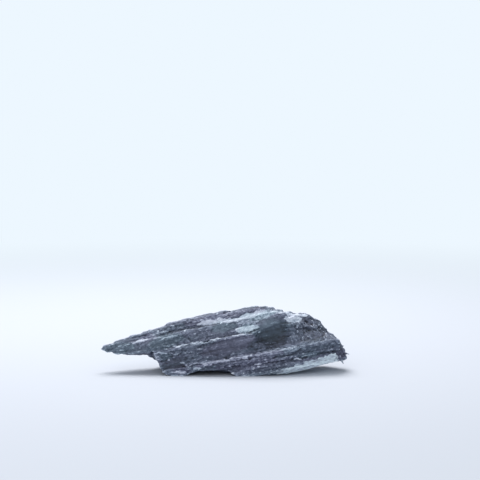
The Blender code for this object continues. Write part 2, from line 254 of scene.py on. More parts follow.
def front_y(x, bed):
    """How far forward the front face comes in a bed."""
    room = along(ROOM, x)
    if bed < MIDDLE_BED:
        y = along(FRONT_LOW, x) + along(LOW_BED, bed) * room
    else:
        y = along(FRONT_HIGH, x) + along(HIGH_BED, bed) * room
    broken = smooth((x - BREAK_START) / (BREAK_FULL - BREAK_START))
    crest = along(CREST_BED, x)
    if broken and BREAK_FOOT_BED < bed and BREAK_FOOT_BED < crest:
        foot = along(FRONT_LOW, x) + along(LOW_BED, BREAK_FOOT_BED) * room
        rise = (bed - BREAK_FOOT_BED) / (crest - BREAK_FOOT_BED)
        y += (foot + (along(CREST_Y, x) - foot) * rise - y) * broken
    return y


def back_y(x, bed):
    """How far back the back face comes in a bed."""
    room = along(ROOM, x)
    if bed < MIDDLE_BACK_BED:
        return along(BACK_LOW, x) + along(LOW_BACK_BED, bed) * room
    return along(BACK_HIGH, x) + along(HIGH_BACK_BED, bed) * room


def foot_bed(x, z, y_at):
    """The bed that a face stands in where it meets the underside."""
    bed = bed_height(x, y_at(x, 0.0), z)
    return bed_height(x, y_at(x, bed), z)


def section(x):
    """The stone's outline across X: its front, top, back and underside, each from 0 to 1 as (y, z)."""
    crest_bed = along(CREST_BED, x)
    crest_y = along(CREST_Y, x)
    low_bed = foot_bed(x, along(UNDER_FRONT, x), front_y)
    back_bed = foot_bed(x, along(UNDER_BACK, x), back_y)
    middle_z = along(UNDER_MIDDLE, x)
    front_top = crest_bed - CREST_ROUND * along(ROOM, x)

    def front(t):
        bed = low_bed + (front_top - low_bed) * t
        y = min(front_y(x, bed), crest_y)
        return y, height_in_bed(bed, x, y)

    shoulder_y = max(back_y(x, crest_bed), crest_y + 1.0)

    def top(t):
        start = front(1)[0]
        y = start + (shoulder_y - start) * t
        rounding = smooth((y - start) / max(0.5, crest_y - start))
        bed = front_top + (crest_bed - front_top) * rounding - TOP_TILT * max(0.0, y - crest_y)
        return y, height_in_bed(bed, x, y)

    def back(t):
        start = crest_bed - TOP_TILT * (shoulder_y - crest_y)
        bed = start + (back_bed - start) * t
        y = shoulder_y + (max(back_y(x, bed), shoulder_y) - shoulder_y) * min(1.0, t * SHOULDER_TURN)
        return y, height_in_bed(bed, x, y)

    def under(t):
        (y0, z0), (y1, z1) = back(1), front(0)
        lift = middle_z - (z0 + z1) / 2
        return y0 + (y1 - y0) * t, z0 + (z1 - z0) * t + lift * math.sin(t * math.pi)

    return front, top, back, under


def skin_point(sides, share):
    """The (y, z) a share of the way round the stone, from the front's foot over the top and back."""
    stops = (0.0, FRONT_SHARE, TOP_SHARE, BACK_SHARE, 1.0)
    for side, start, end in zip(sides, stops, stops[1:]):
        if share <= end:
            return side((share - start) / (end - start))
    return sides[0](0)


def wrap_skin():
    """A sheet of quads wrapped round the stone's sections and closed at both ends."""
    bm = bmesh.new()
    bmesh.ops.create_grid(bm, x_segments=ALONG, y_segments=AROUND, size=1.0)
    sections = {}
    for vert in bm.verts:
        x = TAIL_TIP + (BLUNT_END - TAIL_TIP) * (vert.co.x + 1) / 2
        key = round(x, 3)
        if key not in sections:
            sections[key] = section(x)
        share = round((vert.co.y + 1) / 2, 4) % 1.0
        vert.co = Vector((x, *skin_point(sections[key], share)))
    bmesh.ops.remove_doubles(bm, verts=bm.verts, dist=WELD)
    bmesh.ops.holes_fill(bm, edges=[e for e in bm.edges if e.is_boundary], sides=0)
    bmesh.ops.recalc_face_normals(bm, faces=bm.faces)
    if bm.calc_volume(signed=True) < 0:
        bmesh.ops.reverse_faces(bm, faces=bm.faces)
    return bm


def bed_edges():
    """The heights at which one bed ends and the next begins."""
    dice = random.Random(SEED)
    edges = [LOWEST_BED]
    while edges[-1] < HIGHEST_BED:
        edges.append(edges[-1] + dice.uniform(THIN_BED, THICK_BED))
    return edges


def facet(place):
    """The height of a flat tilted break at a place, with one break to each unit of length or so."""
    middle = noise.voronoi(place)[1][0]
    tilt = Vector([noise.noise(middle * TILT_SPREAD + apart) for apart in TILT_PLACES])
    return (place - middle).dot(tilt)


def stand_out(number, point):
    """How far one bed's broken edge stands out at a point."""
    place = Vector((point.x / STEP_LENGTH, point.y / STEP_LENGTH, number * STEP_APART))
    slanted = point.x + point.z * (CHIP_SLANT if number % 2 else -CHIP_SLANT)
    chip = Vector((slanted / CHIP_SIZE, point.y / CHIP_SIZE, number * CHIP_APART))
    return BED_STEP * noise.noise(place) + CHIP_DEPTH * facet(chip)


def step_out(point, bed, edges, normal, up):
    """How a point on a bed's broken edge moves, in the plane of the bed."""
    number = min(max(bisect_right(edges, bed), 1), len(edges) - 2)
    to_next = smooth((bed - edges[number]) / STEP_WIDTH + 1)
    out = stand_out(number, point) * (1 - to_next)
    if to_next:
        out += stand_out(number + 1, point) * to_next
    return (normal - up * normal.dot(up)) * out * along(BOLDNESS, bed)


def terrace(point, bed, edges, normal, up):
    """How a point on bare bed surfaces moves, up or down to its own bed's surface."""
    facing_up = normal.dot(up)
    level = abs(facing_up) ** TERRACE_LEVELNESS * (1 if facing_up > 0 else UNDERSIDE_TERRACES)
    wander = bed + TERRACE_WANDER * noise.noise(point / TERRACE_SIZE)
    number = min(max(bisect_right(edges, wander), 1), len(edges) - 2)
    thickness = edges[number] - edges[number - 1]
    across = (wander - edges[number - 1]) / thickness
    snap = smooth((across - 0.5) / TERRACE_EDGE + 0.5) - across
    return up * snap * thickness * level * TERRACE_DEPTH


def stroke_nearness(x, bed, start, end, width):
    """1 along a lens-shaped stroke's middle, falling to 0 at its half width, for many points at once."""
    run = np.array(end) - np.array(start)
    away = np.stack([x - start[0], bed - start[1]], axis=-1)
    share = np.clip(away @ run / (run @ run), 0, 1)
    taper = STROKE_END + (1 - STROKE_END) * np.sin(share * math.pi)
    near = 1 - np.linalg.norm(away - share[..., None] * run, axis=-1) / (width * taper)
    return np.clip(near * STROKE_EDGE, 0, 1)


def strongest(x, bed, marks):
    """The strength of the marks at each point, the strongest mark counting."""
    field = np.zeros(np.shape(x))
    for start, end, width, strength in marks:
        field = np.maximum(field, strength * stroke_nearness(x, bed, start, end, width))
    return field


def front_share(x, y):
    """1 on the front and 0 behind the crest, for many points at once."""
    return np.clip((np.interp(x, *zip(*CREST_Y)) + CREST_SPILL - y) / CREST_FADE, 0, 1)


def calm_share(points):
    """How smoothly the front broke at each point."""
    x, y, z = np.array(points).T
    return strongest(x, bed_height(x, y, z), CALM_FACES) * front_share(x, y)


def broken_share(x, bed):
    """How much of a point lies on the rough broken end."""
    share = smooth((x - BREAK_START) / (BREAK_FULL - BREAK_START))
    return share * smooth((bed - BREAK_FOOT_BED) / BREAK_FADE + 0.5)


def wavy_bed(point):
    """A point's bed height, with the beds' slow waves."""
    return bed_height(*point) + BED_WAVE * noise.noise(point / BED_WAVE_SIZE)


def weather(bm, edges):
    """Steps the surface at each bed, terraces what lies along the beds, and roughens it all."""
    bm.normal_update()
    up = Vector((-BED_RISE, BED_DIP, 1)).normalized()
    calm = calm_share([v.co for v in bm.verts])
    moves = []
    for vert, calmness in zip(bm.verts, calm):
        point, normal = vert.co, vert.normal
        bed = wavy_bed(point)
        broken = broken_share(point.x, bed) * (1 - calmness)
        grain = GRAIN_DEPTH * noise.fractal(point / GRAIN_SIZE, *GRAIN_KIND)
        grain += BREAK_DEPTH * facet(point / BREAK_SIZE)
        if broken:
            grain += broken * END_DEPTH * facet(point / END_SIZE)
        steps = step_out(point, bed, edges, normal, up) * (1 + (END_STEPS - 1) * broken)
        terraces = terrace(point, bed, edges, normal, up) * (1 + (END_TERRACES - 1) * broken)
        moves.append((steps + terraces + normal * grain) * (1 - CALMING * calmness))
    for vert, move in zip(bm.verts, moves):
        vert.co += move


def knock_off_chips(bm):
    """Pushes what stands inside each chip's shell back onto it."""
    slope = math.atan(BED_RISE)
    for centre, radii, bite in CHIPS:
        for vert in bm.verts:
            away = vert.co - centre
            along_bed = away.x * math.cos(slope) + away.z * math.sin(slope)
            across_bed = away.z * math.cos(slope) - away.x * math.sin(slope)
            flat = (along_bed / radii.x) ** 2 + (across_bed / radii.z) ** 2
            if flat >= 1:
                continue
            reach = radii.y * math.sqrt(1 - flat)
            deep = away.dot(bite)
            if -reach - radii.y < deep < reach:
                vert.co += bite * (reach - deep) * smooth((1 - flat) * CHIP_SOFTNESS)


def add_splinters(bm):
    """Thin four-sided spikes that the broken end keeps."""
    for root, tip, thick in SPLINTERS:
        way = tip - root
        made = bmesh.ops.create_cone(
            bm, cap_ends=True, segments=4, radius1=thick / 2, radius2=SPLINTER_TIP, depth=way.length,
        )
        turn = Vector((0, 0, 1)).rotation_difference(way)
        bmesh.ops.rotate(bm, verts=made["verts"], matrix=turn.to_matrix())
        bmesh.ops.translate(bm, verts=made["verts"], vec=(root + tip) / 2)


def drop_crumbs(bm):
    """Keeps the stone itself and deletes any loose crumb beside it."""
    kept = {max(bm.verts, key=lambda v: v.co.z)}
    found = kept
    while found:
        found = {e.other_vert(v) for v in found for e in v.link_edges} - kept
        kept |= found
    bmesh.ops.delete(bm, geom=[v for v in bm.verts if v not in kept], context="VERTS")


def evaluated(obj):
    """A copy of an object's mesh with its modifiers applied."""
    graph = bpy.context.evaluated_depsgraph_get()
    return bpy.data.meshes.new_from_object(obj.evaluated_get(graph))


def even_out(bm):
    """The same form on an even fine grid, thinned where it is flat."""
    mesh = bpy.data.meshes.new("rough")
    bm.to_mesh(mesh)
    bm.free()
    rough = bpy.data.objects.new("rough", mesh)
    bpy.context.scene.collection.objects.link(rough)
    remesh = rough.modifiers.new("even", "REMESH")
    remesh.mode = "VOXEL"
    remesh.voxel_size = VOXEL
    dense = evaluated(rough)
    count = sum(len(p.vertices) - 2 for p in dense.polygons)
    thin = rough.modifiers.new("thin", "DECIMATE")
    thin.ratio = min(1.0, TRIANGLES / count)
    mesh = evaluated(rough)
    bpy.data.objects.remove(rough)
    result = bmesh.new()
    result.from_mesh(mesh)
    return result


def refine(bm):
    """Fine relief: thin beds and small blocks stand out, the broken end is hackly, and all is pitted."""
    bm.normal_update()
    up = Vector((-BED_RISE, BED_DIP, 1)).normalized()
    calm = calm_share([v.co for v in bm.verts])
    moves = []
    for vert, calmness in zip(bm.verts, calm):
        point, normal = vert.co, vert.normal
        bed = wavy_bed(point)
        broken = broken_share(point.x, bed) * (1 - calmness)
        place = Vector((point.x / LAMINA_LENGTH, point.y / LAMINA_LENGTH, bed / LAMINA))
        thin = smooth((TAIL_THICK - point.x) / (TAIL_THICK - TAIL_THIN))
        out = LAMINA_DEPTH * noise.noise(place) * (1 - broken) * (1 - calmness / 2)
        out *= 1 + (TAIL_LAMINAE - 1) * thin
        block = Vector((point.x / BLOCK_LENGTH, point.y / BLOCK_LENGTH, bed / BLOCK_HEIGHT))
        blocky = (1 - broken) * (1 - calmness) * (1 + (TAIL_BLOCKS - 1) * thin)
        out += BLOCK_DEPTH * facet(block) * blocky
        out += PIT_DEPTH * noise.fractal(point / PIT_SIZE, *PIT_KIND)
        if broken:
            out += broken * HACKLE_DEPTH * facet(point / HACKLE_SIZE)
        moves.append(normal * out)
    for vert, move in zip(bm.verts, moves):
        vert.co += move


def cut_flat_base(bm):
    """Cuts the foot off level with the ground, which leaves the flat spots that the stone rests on."""
    everything = bm.verts[:] + bm.edges[:] + bm.faces[:]
    cut = bmesh.ops.bisect_plane(
        bm, geom=everything, plane_co=(0, 0, 0), plane_no=(0, 0, -1), clear_outer=True,
    )
    rim = [e for e in cut["geom_cut"] if isinstance(e, bmesh.types.BMEdge)]
    bmesh.ops.holes_fill(bm, edges=rim, sides=0)
    bmesh.ops.dissolve_degenerate(bm, dist=SLIVER, edges=bm.edges)
    bmesh.ops.triangulate(bm, faces=bm.faces)


def middle_of(xs):
    """Halfway between the lowest and the highest."""
    return (min(xs) + max(xs)) / 2


def build_stone():
    """The stone's fine surface as one mesh in metres, its box centred where the solid's is."""
    bm = wrap_skin()
    knock_off_chips(bm)
    weather(bm, bed_edges())
    add_splinters(bm)
    bm = even_out(bm)
    drop_crumbs(bm)
    refine(bm)
    cut_flat_base(bm)
    low, high = (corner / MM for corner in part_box(NODE))
    shift = Vector((
        (low.x + high.x) / 2 - middle_of([v.co.x for v in bm.verts]),
        (low.y + high.y) / 2 - middle_of([v.co.y for v in bm.verts]),
        0,
    ))
    for face in bm.faces:
        face.smooth = True
    mesh = bpy.data.meshes.new("stone_surface")
    bm.to_mesh(mesh)
    bm.free()
    mesh.set_sharp_from_angle(angle=CRISP_FOLD)
    mark_surface(mesh)
    mesh.transform(Matrix.Scale(MM, 4) @ Matrix.Translation(shift))
    stone = bpy.data.objects.new("stone_surface", mesh)
    stone["shift"] = shift
    bpy.context.scene.collection.objects.link(stone)
    return stone


# Strokes where the front is pale
PALE_MARKS = [
    ((-20.0, 46.2), (4.0, 44.5), 2.8, 1.0),
    ((5.0, 43.0), (34.0, 44.5), 2.4, 1.1),
    ((12.0, 39.6), (28.0, 38.6), 5.0, 0.5),
    ((22.0, 41.0), (42.0, 41.5), 4.6, 0.55),
    ((11.6, 34.8), (25.5, 33.5), 4.2, 0.85),
    ((49.0, 36.2), (62.0, 32.0), 3.6, 0.75),
    ((59.5, 30.3), (62.0, 33.0), 1.6, 1.2),
    ((40.0, 43.2), (48.0, 40.2), 1.5, 0.8),
    ((48.0, 40.2), (57.0, 36.8), 1.6, 1.1),
    ((57.0, 36.8), (66.5, 34.4), 1.5, 1.3),
    ((-41.0, 32.0), (-28.9, 31.7), 0.9, 0.8),
    ((-26.5, 31.6), (-13.6, 29.9), 1.9, 0.6),
    ((-11.3, 31.2), (-4.0, 31.3), 0.9, 0.9),
    ((8.0, 30.5), (17.0, 30.3), 1.3, 0.65),
    ((27.0, 29.9), (30.0, 29.7), 0.9, 0.6),
    ((-56.3, 29.4), (-45.0, 27.8), 1.1, 0.75),
    ((-44.0, 27.0), (-28.0, 23.7), 0.7, 0.5),
    ((-55.5, 28.0), (-52.2, 23.8), 1.8, 0.5),
    ((-44.5, 21.4), (-43.5, 21.3), 1.1, 0.9),
    ((-53.8, 23.7), (-53.0, 23.6), 1.0, 0.8),
    ((-41.0, 11.0), (-28.8, 7.6), 1.3, 0.65),
    ((-36.8, 17.4), (-27.0, 13.6), 1.3, 0.5),
    ((-24.5, 9.2), (-18.5, 9.9), 1.4, 0.9),
    ((-26.0, 14.4), (6.0, 12.4), 1.9, 0.5),
    ((-14.0, 11.6), (16.0, 12.0), 2.6, 0.36),
    ((2.2, 12.9), (24.0, 13.8), 1.9, 0.45),
    ((16.0, 13.6), (48.8, 13.0), 2.0, 0.42),
    ((40.8, 13.0), (84.0, 13.6), 1.9, 0.4),
    ((24.0, 10.4), (66.0, 10.2), 3.0, 0.36),
    ((28.0, 6.0), (60.0, 5.4), 2.2, 0.3),
    ((15.2, 12.6), (18.4, 10.6), 1.2, 0.9),
    ((24.6, 5.0), (30.8, 4.9), 1.0, 0.8),
    ((54.5, 3.9), (60.1, 3.4), 0.9, 1.1),
    ((61.0, 4.7), (75.5, 5.2), 0.8, 0.7),
    ((-86.3, 41.8), (-76.6, 41.7), 0.8, 0.6),
    ((-86.3, 38.6), (-81.4, 37.6), 0.7, 0.5),
    ((-72.0, 43.0), (-62.9, 43.3), 1.6, 0.9),
    ((-70.0, 45.0), (-52.0, 44.0), 4.0, 0.35),
    ((-59.8, 47.2), (-45.3, 46.0), 1.7, 0.6),
    ((-24.0, 49.0), (24.0, 48.0), 3.0, 0.35),
    ((26.0, 47.0), (40.0, 43.6), 1.6, 0.6),
    ((-51.5, 41.0), (-35.4, 41.5), 0.9, 0.6),
    ((-32.0, 43.9), (-31.0, 43.8), 1.2, 1.1),
    ((-27.0, 37.8), (-26.2, 37.7), 0.9, 0.8),
    ((34.5, 19.4), (43.3, 19.3), 0.8, 0.35),
]
# The painted highlight along the crest's rim, a pale line just below the crest: how far below the crest it
# lies, and the run of the crest that has it
RIM_DEPTH, RIM_WIDTH, RIM_HIGHLIGHT_STRENGTH = 0.8, 1.3, 0.15
RIM_START, RIM_END = -62, 38

# Strokes where the front is lilac, blue-green and dark; the dark strokes are partly darker patches of the
# stone and partly painted shade
LILAC_MARKS = [
    ((-30.0, 48.5), (20.0, 47.8), 4.5, 1.0),
    ((20.0, 47.8), (32.0, 45.8), 3.5, 1.0),
    ((-66.0, 44.0), (-58.0, 46.0), 5.0, 1.0),
    ((-15.0, 22.0), (22.0, 25.0), 9.0, 1.0),
    ((-20.0, 12.0), (45.0, 11.0), 4.5, 0.8),
    ((-5.0, 8.0), (40.0, 6.0), 5.5, 0.8),
    ((-38.0, 12.0), (-28.0, 9.0), 5.0, 0.7),
    ((92.0, 2.0), (97.0, 0.0), 6.0, 0.8),
]
TEAL_MARKS = [
    ((-58.0, 38.0), (-35.0, 38.0), 8.0, 1.0),
    ((-98.0, 40.0), (-75.0, 40.0), 8.0, 1.0),
    ((28.0, 30.0), (48.0, 28.0), 10.0, 1.0),
    ((-8.0, 40.0), (8.0, 38.0), 5.0, 0.8),
    ((-52.0, 25.0), (-44.0, 24.0), 5.0, 0.7),
    ((60.0, 5.0), (78.0, 5.0), 3.0, 0.8),
    ((22.0, 41.0), (39.0, 41.5), 4.0, 0.8),
    ((13.6, 34.5), (24.5, 33.5), 5.0, 0.7),
]
# Among them painted shade: the soft shadow at the top of the scoop (x 44 to 50), the arch between the feet
# (x -24 to 0) and the face under the low ledge (x 30 to 58); the others darken given patches of the front
DARK_AND_SHADE_MARKS = [
    ((44.0, 35.5), (50.0, 30.0), 5.0, 0.8),
    ((30.0, 28.0), (47.0, 25.0), 8.0, 0.3),
    ((-20.0, 24.0), (5.0, 25.0), 8.0, 0.4),
    ((20.0, 21.0), (50.0, 19.0), 8.0, 1.0),
    ((30.0, 8.0), (58.0, 8.0), 4.0, 0.4),
    ((-50.0, 22.0), (-32.0, 14.0), 10.0, 0.9),
    ((-24.0, 9.0), (0.0, 8.0), 5.0, 0.5),
    ((66.0, 30.0), (80.0, 18.0), 10.0, 0.5),
    ((90.0, 4.0), (99.0, 2.0), 7.0, 0.8),
]
# How far the marks' outlines wander, along X and across the beds, and over what length
WANDER_ALONG, WANDER_ACROSS = 3.2, 1.1
MARK_SIZE = 5.0
MARK_KIND = (0.8, 2.1, 3)
MARK_APART = Vector((41, 13, 27))
# The vein low on the front: (x, its upper edge's bed height), where along X it begins and ends, how long
# it takes to end, and how far its soft upper edge reaches
VEIN_TOP = [(30, -2.4), (57, -1.6), (63, -0.1), (77, 1.6), (91, 2.6)]
VEIN_START, VEIN_FULL, VEIN_END = 26.0, 62.0, 93.0
VEIN_FADE, VEIN_EDGE = 4.0, 0.5

# How many smoothing steps tell fine edges and broad hollows from the surface round them
FINE_STEPS, BROAD_STEPS = 6, 60

# Colours, as they look in neutral light
SLATE = [(18, 28, 38), (66, 79, 94), (114, 128, 143), (162, 177, 191), (210, 223, 233)]
LILAC = [(24, 26, 40), (74, 77, 97), (121, 125, 146), (168, 173, 191), (216, 220, 233)]
VEIN = [(84, 88, 104), (120, 126, 142), (158, 167, 182), (188, 200, 212), (214, 227, 235)]
FLOOR_WHITE = (198, 201, 209)
SKY_WHITE = (237, 247, 255)
BLACK = (0, 0, 0, 1)


# Noises drawn out along the beds: length, thickness, detail, roughness, and how far apart they are taken
BROAD = (50.0, 7.0, 3, 0.5, 0.0)
BAND = (30.0, 1.9, 4, 0.6, 17.0)
BLOTCH = (11.0, 4.0, 3, 0.6, 47.0)
STREAK = (8.0, 1.2, 3, 0.6, 5.0)
FLECK = (2.5, 1.2, 3, 0.65, 31.0)
# The broken end's shards: how they lean in X and Z, their thickness, depth and length, and their noise
SHARD_LEAN = (0.9, 0.45)
SHARD_THICK, SHARD_DEEP, SHARD_LONG = 1.2, 1.6, 3.4
SHARD_KIND = (2, 0.6)
# The finest grain, for the bump alone
GRAIN_LENGTH, FINE_GRAIN_KIND = 0.7, (3, 0.6)

# The stone's tone runs from 0 where it is darkest to 1 where it is palest. This is its base, and how much
# each noise, edge and mark adds to it. What the edges add is partly wear and partly painted highlight on
# ridges, and the broad hollows take painted shade.
BASE_TONE = 0.29
BROAD_TONE, BAND_TONE, BLOTCH_TONE, STREAK_TONE = 0.3, 0.25, 0.2, 0.2
# Broad hollows are darkened and broad bulges lightened as painted shade and light
SPECKLE_TONE, EDGE_WEAR_AND_HIGHLIGHT_TONE, HOLLOW_SHADE_TONE = 0.55, 0.4, 0.07
# The dark marks' tone lowers them, partly as painted shade
BROKEN_TONE, DARK_AND_SHADE_TONE = -0.03, -0.13
FLECK_TONE, SHARD_TONE = 0.36, 0.5
# Smooth faces have fewer specks, and specks come in patches
CALM_LESS, LIVELY_BASE, LIVELY_BLOTCH = 0.6, 0.95, 1.6
# Flecks and shards start where their noise passes these, helped by edges and bands; the edges' help is
# partly wear and partly painted highlight on ridges
FLECK_STEP, FLECK_EDGE, FLECK_BAND = (0.13, 0.26), 0.3, 0.3
SHARD_STEP, SHARD_EDGE = (0.11, 0.2), 0.15
# Pale marks, and the painted rim highlight with them: where they start, how the noises break them up, and
# their tone
PALE_STEP, PALE_FLECK, PALE_STREAK = (0.15, 0.8), 0.7, 0.5
PALE_COVER, PALE_TONE, PALE_TONE_FLECK, PALE_TONE_STREAK = 0.8, 0.8, 0.6, 0.4
# From slate to lilac
HUE_STEP, HUE_BROAD, HUE_BAND = (-0.8, 0.8), 2.0, 0.8
# The vein's outline and tone
VEIN_STEP, VEIN_NOISE = (0.25, 0.75), 0.8
VEIN_TONE, VEIN_TONE_STREAK, VEIN_TONE_FLECK, VEIN_TONE_BAND = 0.78, 1.6, 0.9, 0.8
# How rough the stone is to light, and its bump
BASE_ROUGH, CALM_ROUGH, VEIN_ROUGH, SPECKLE_ROUGH = 0.72, -0.12, -0.15, 0.3
GRAIN_BUMP, STREAK_BUMP, SPECKLE_BUMP = 0.12, 0.35, 0.25


def rim_highlight_marks():
    """Strokes of painted highlight that follow the crest, just below it."""
    run = [(x, bed - RIM_DEPTH) for x, bed in CREST_BED if RIM_START < x < RIM_END]
    return [(start, end, RIM_WIDTH, RIM_HIGHLIGHT_STRENGTH) for start, end in zip(run, run[1:])]


def stands_proud(places, normals, pairs, steps):
    """How far each point stands out past its surroundings, which smoothing steps work out."""
    smoothed = places.copy()
    count = len(places)
    both = np.concatenate([pairs[:, 0], pairs[:, 1]])
    other = np.concatenate([pairs[:, 1], pairs[:, 0]])
    neighbours = np.bincount(both, minlength=count)[:, None]
    for _ in range(steps):
        total = np.stack([np.bincount(both, smoothed[other, k], count) for k in range(3)], axis=1)
        smoothed = total / neighbours
    return ((places - smoothed) * normals).sum(axis=1)


def wander(places, apart):
    """Rough noise at each place, by which the marks' outlines leave their strokes."""
    return np.array([noise.fractal(Vector(place) / MARK_SIZE + apart, *MARK_KIND) for place in places])


def mark_surface(mesh):
    """Stores on the stone's surface what its colours follow: the beds, the marks, and what stands proud."""
    count = len(mesh.vertices)
    places = np.zeros(count * 3)
    mesh.vertices.foreach_get("co", places)
    places = places.reshape(-1, 3)
    normals = np.zeros(count * 3)
    mesh.vertex_normals.foreach_get("vector", normals)
    normals = normals.reshape(-1, 3)
    pairs = np.zeros(len(mesh.edges) * 2, int)
    mesh.edges.foreach_get("vertices", pairs)
    pairs = pairs.reshape(-1, 2)

    x, y, z = places.T
    bed = bed_height(x, y, z)
    wave = np.array([noise.noise(Vector(place) / BED_WAVE_SIZE) for place in places])
    mark_x = x + WANDER_ALONG * wander(places, MARK_APART)
    mark_bed = bed + WANDER_ACROSS * wander(places, -MARK_APART)
    front = front_share(x, y)
    vein = np.clip(np.interp(mark_x, *zip(*VEIN_TOP)) - mark_bed + VEIN_EDGE, 0, 1)
    vein *= np.clip((mark_x - VEIN_START) / (VEIN_FULL - VEIN_START), 0, 1)
    vein *= np.clip((VEIN_END - mark_x) / VEIN_FADE, 0, 1)
    broken = np.array([broken_share(*pair) for pair in zip(x, bed)])
    fields = {
        "bed": bed + BED_WAVE * wave,
        # The pale field holds the pale marks and the painted highlight along the crest's rim
        "pale_and_rim_highlight": strongest(mark_x, mark_bed, PALE_MARKS + rim_highlight_marks()) * front,
        "tint": (strongest(mark_x, mark_bed, LILAC_MARKS) - strongest(mark_x, mark_bed, TEAL_MARKS)) * front,
        # Dark marks, partly painted shade
        "dark_and_shade": strongest(mark_x, mark_bed, DARK_AND_SHADE_MARKS) * front,
        "calm": calm_share(places),
        "vein": vein * front,
        "broken": broken,
        # Fine edges that stand proud, lightened partly as wear and partly as painted highlight
        "edge_wear_and_highlight": stands_proud(places, normals, pairs, FINE_STEPS),
        # Broad hollows, for painted shade in them and painted light on bulges
        "hollow_shade": stands_proud(places, normals, pairs, BROAD_STEPS),
    }
    for name, field in fields.items():
        mesh.attributes.new(name, "FLOAT", "POINT").data.foreach_set("value", field.astype(np.float32))


class Value:
    """One output of a shader's nodes, which Python's sums work on by adding Math nodes."""

    def __init__(self, looks, socket):
        self.looks = looks
        self.socket = socket

    def maths(self, operation, *terms):
        return self.looks.node("ShaderNodeMath", {"operation": operation}, dict(enumerate(terms)))

    def __add__(self, other):
        return self.maths("ADD", self, other)

    def __sub__(self, other):
        return self.maths("SUBTRACT", self, other)

    def __rsub__(self, other):
        return self.maths("SUBTRACT", other, self)

    def __mul__(self, other):
        return self.maths("MULTIPLY", self, other)

    def __truediv__(self, other):
        return self.maths("DIVIDE", self, other)

    __radd__ = __add__
    __rmul__ = __mul__

    def step(self, low, high):
        """0 up to low, 1 from high, and a smooth run between."""
        ends = {"Value": self, "From Min": low, "From Max": high}
        return self.looks.node("ShaderNodeMapRange", {"interpolation_type": "SMOOTHSTEP"}, ends)


class Looks:
    """One material and its nodes."""

    def __init__(self, name):
        self.material = bpy.data.materials.new(name)
        self.material.use_nodes = True
        self.tree = self.material.node_tree
        self.surface = self.tree.nodes["Principled BSDF"]

    def set_input(self, socket, value):
        if isinstance(value, Value):
            self.tree.links.new(value.socket, socket)
        else:
            socket.default_value = value

    def node(self, kind, settings, inputs, output=0):
        made = self.tree.nodes.new(kind)
        for name, value in settings.items():
            setattr(made, name, value)
        for name, value in inputs.items():
            self.set_input(made.inputs[name], value)
        return Value(self, made.outputs[output])

    def ramp(self, share, colours):
        """A colour by share, with the colours evenly spread from 0 to 1."""
        made = self.node("ShaderNodeValToRGB", {}, {"Fac": share})
        elements = made.socket.node.color_ramp.elements
        for number, colour in enumerate(colours):
            place = number / (len(colours) - 1)
            element = elements[number] if number < 2 else elements.new(place)
            element.position = place
            element.color = linear(colour)
        return made

    def mix(self, share, first, second, blend="MIX"):
        settings = {"data_type": "RGBA", "blend_type": blend}
        return self.node("ShaderNodeMix", settings, {0: share, 6: first, 7: second}, output=2)

    def attribute(self, name):
        return self.node("ShaderNodeAttribute", {"attribute_name": name}, {}, output="Fac")

    def noise(self, place, detail, roughness=0.5):
        inputs = {"Vector": place, "Scale": 1.0, "Detail": detail, "Roughness": roughness}
        return self.node("ShaderNodeTexNoise", {}, inputs)

    def point(self, x, y, z):
        return self.node("ShaderNodeCombineXYZ", {}, {0: x, 1: y, 2: z})

    def finish(self, **inputs):
        for name, value in inputs.items():
            self.set_input(self.surface.inputs[name.replace("_", " ")], value)
        return self.material


def linear(colour):
    """A colour given as it looks, 0 to 255, as the light values that shaders use."""
    shares = [c / 255 for c in colour]
    return (*[s / 12.92 if s <= 0.04045 else ((s + 0.055) / 1.055) ** 2.4 for s in shares], 1.0)


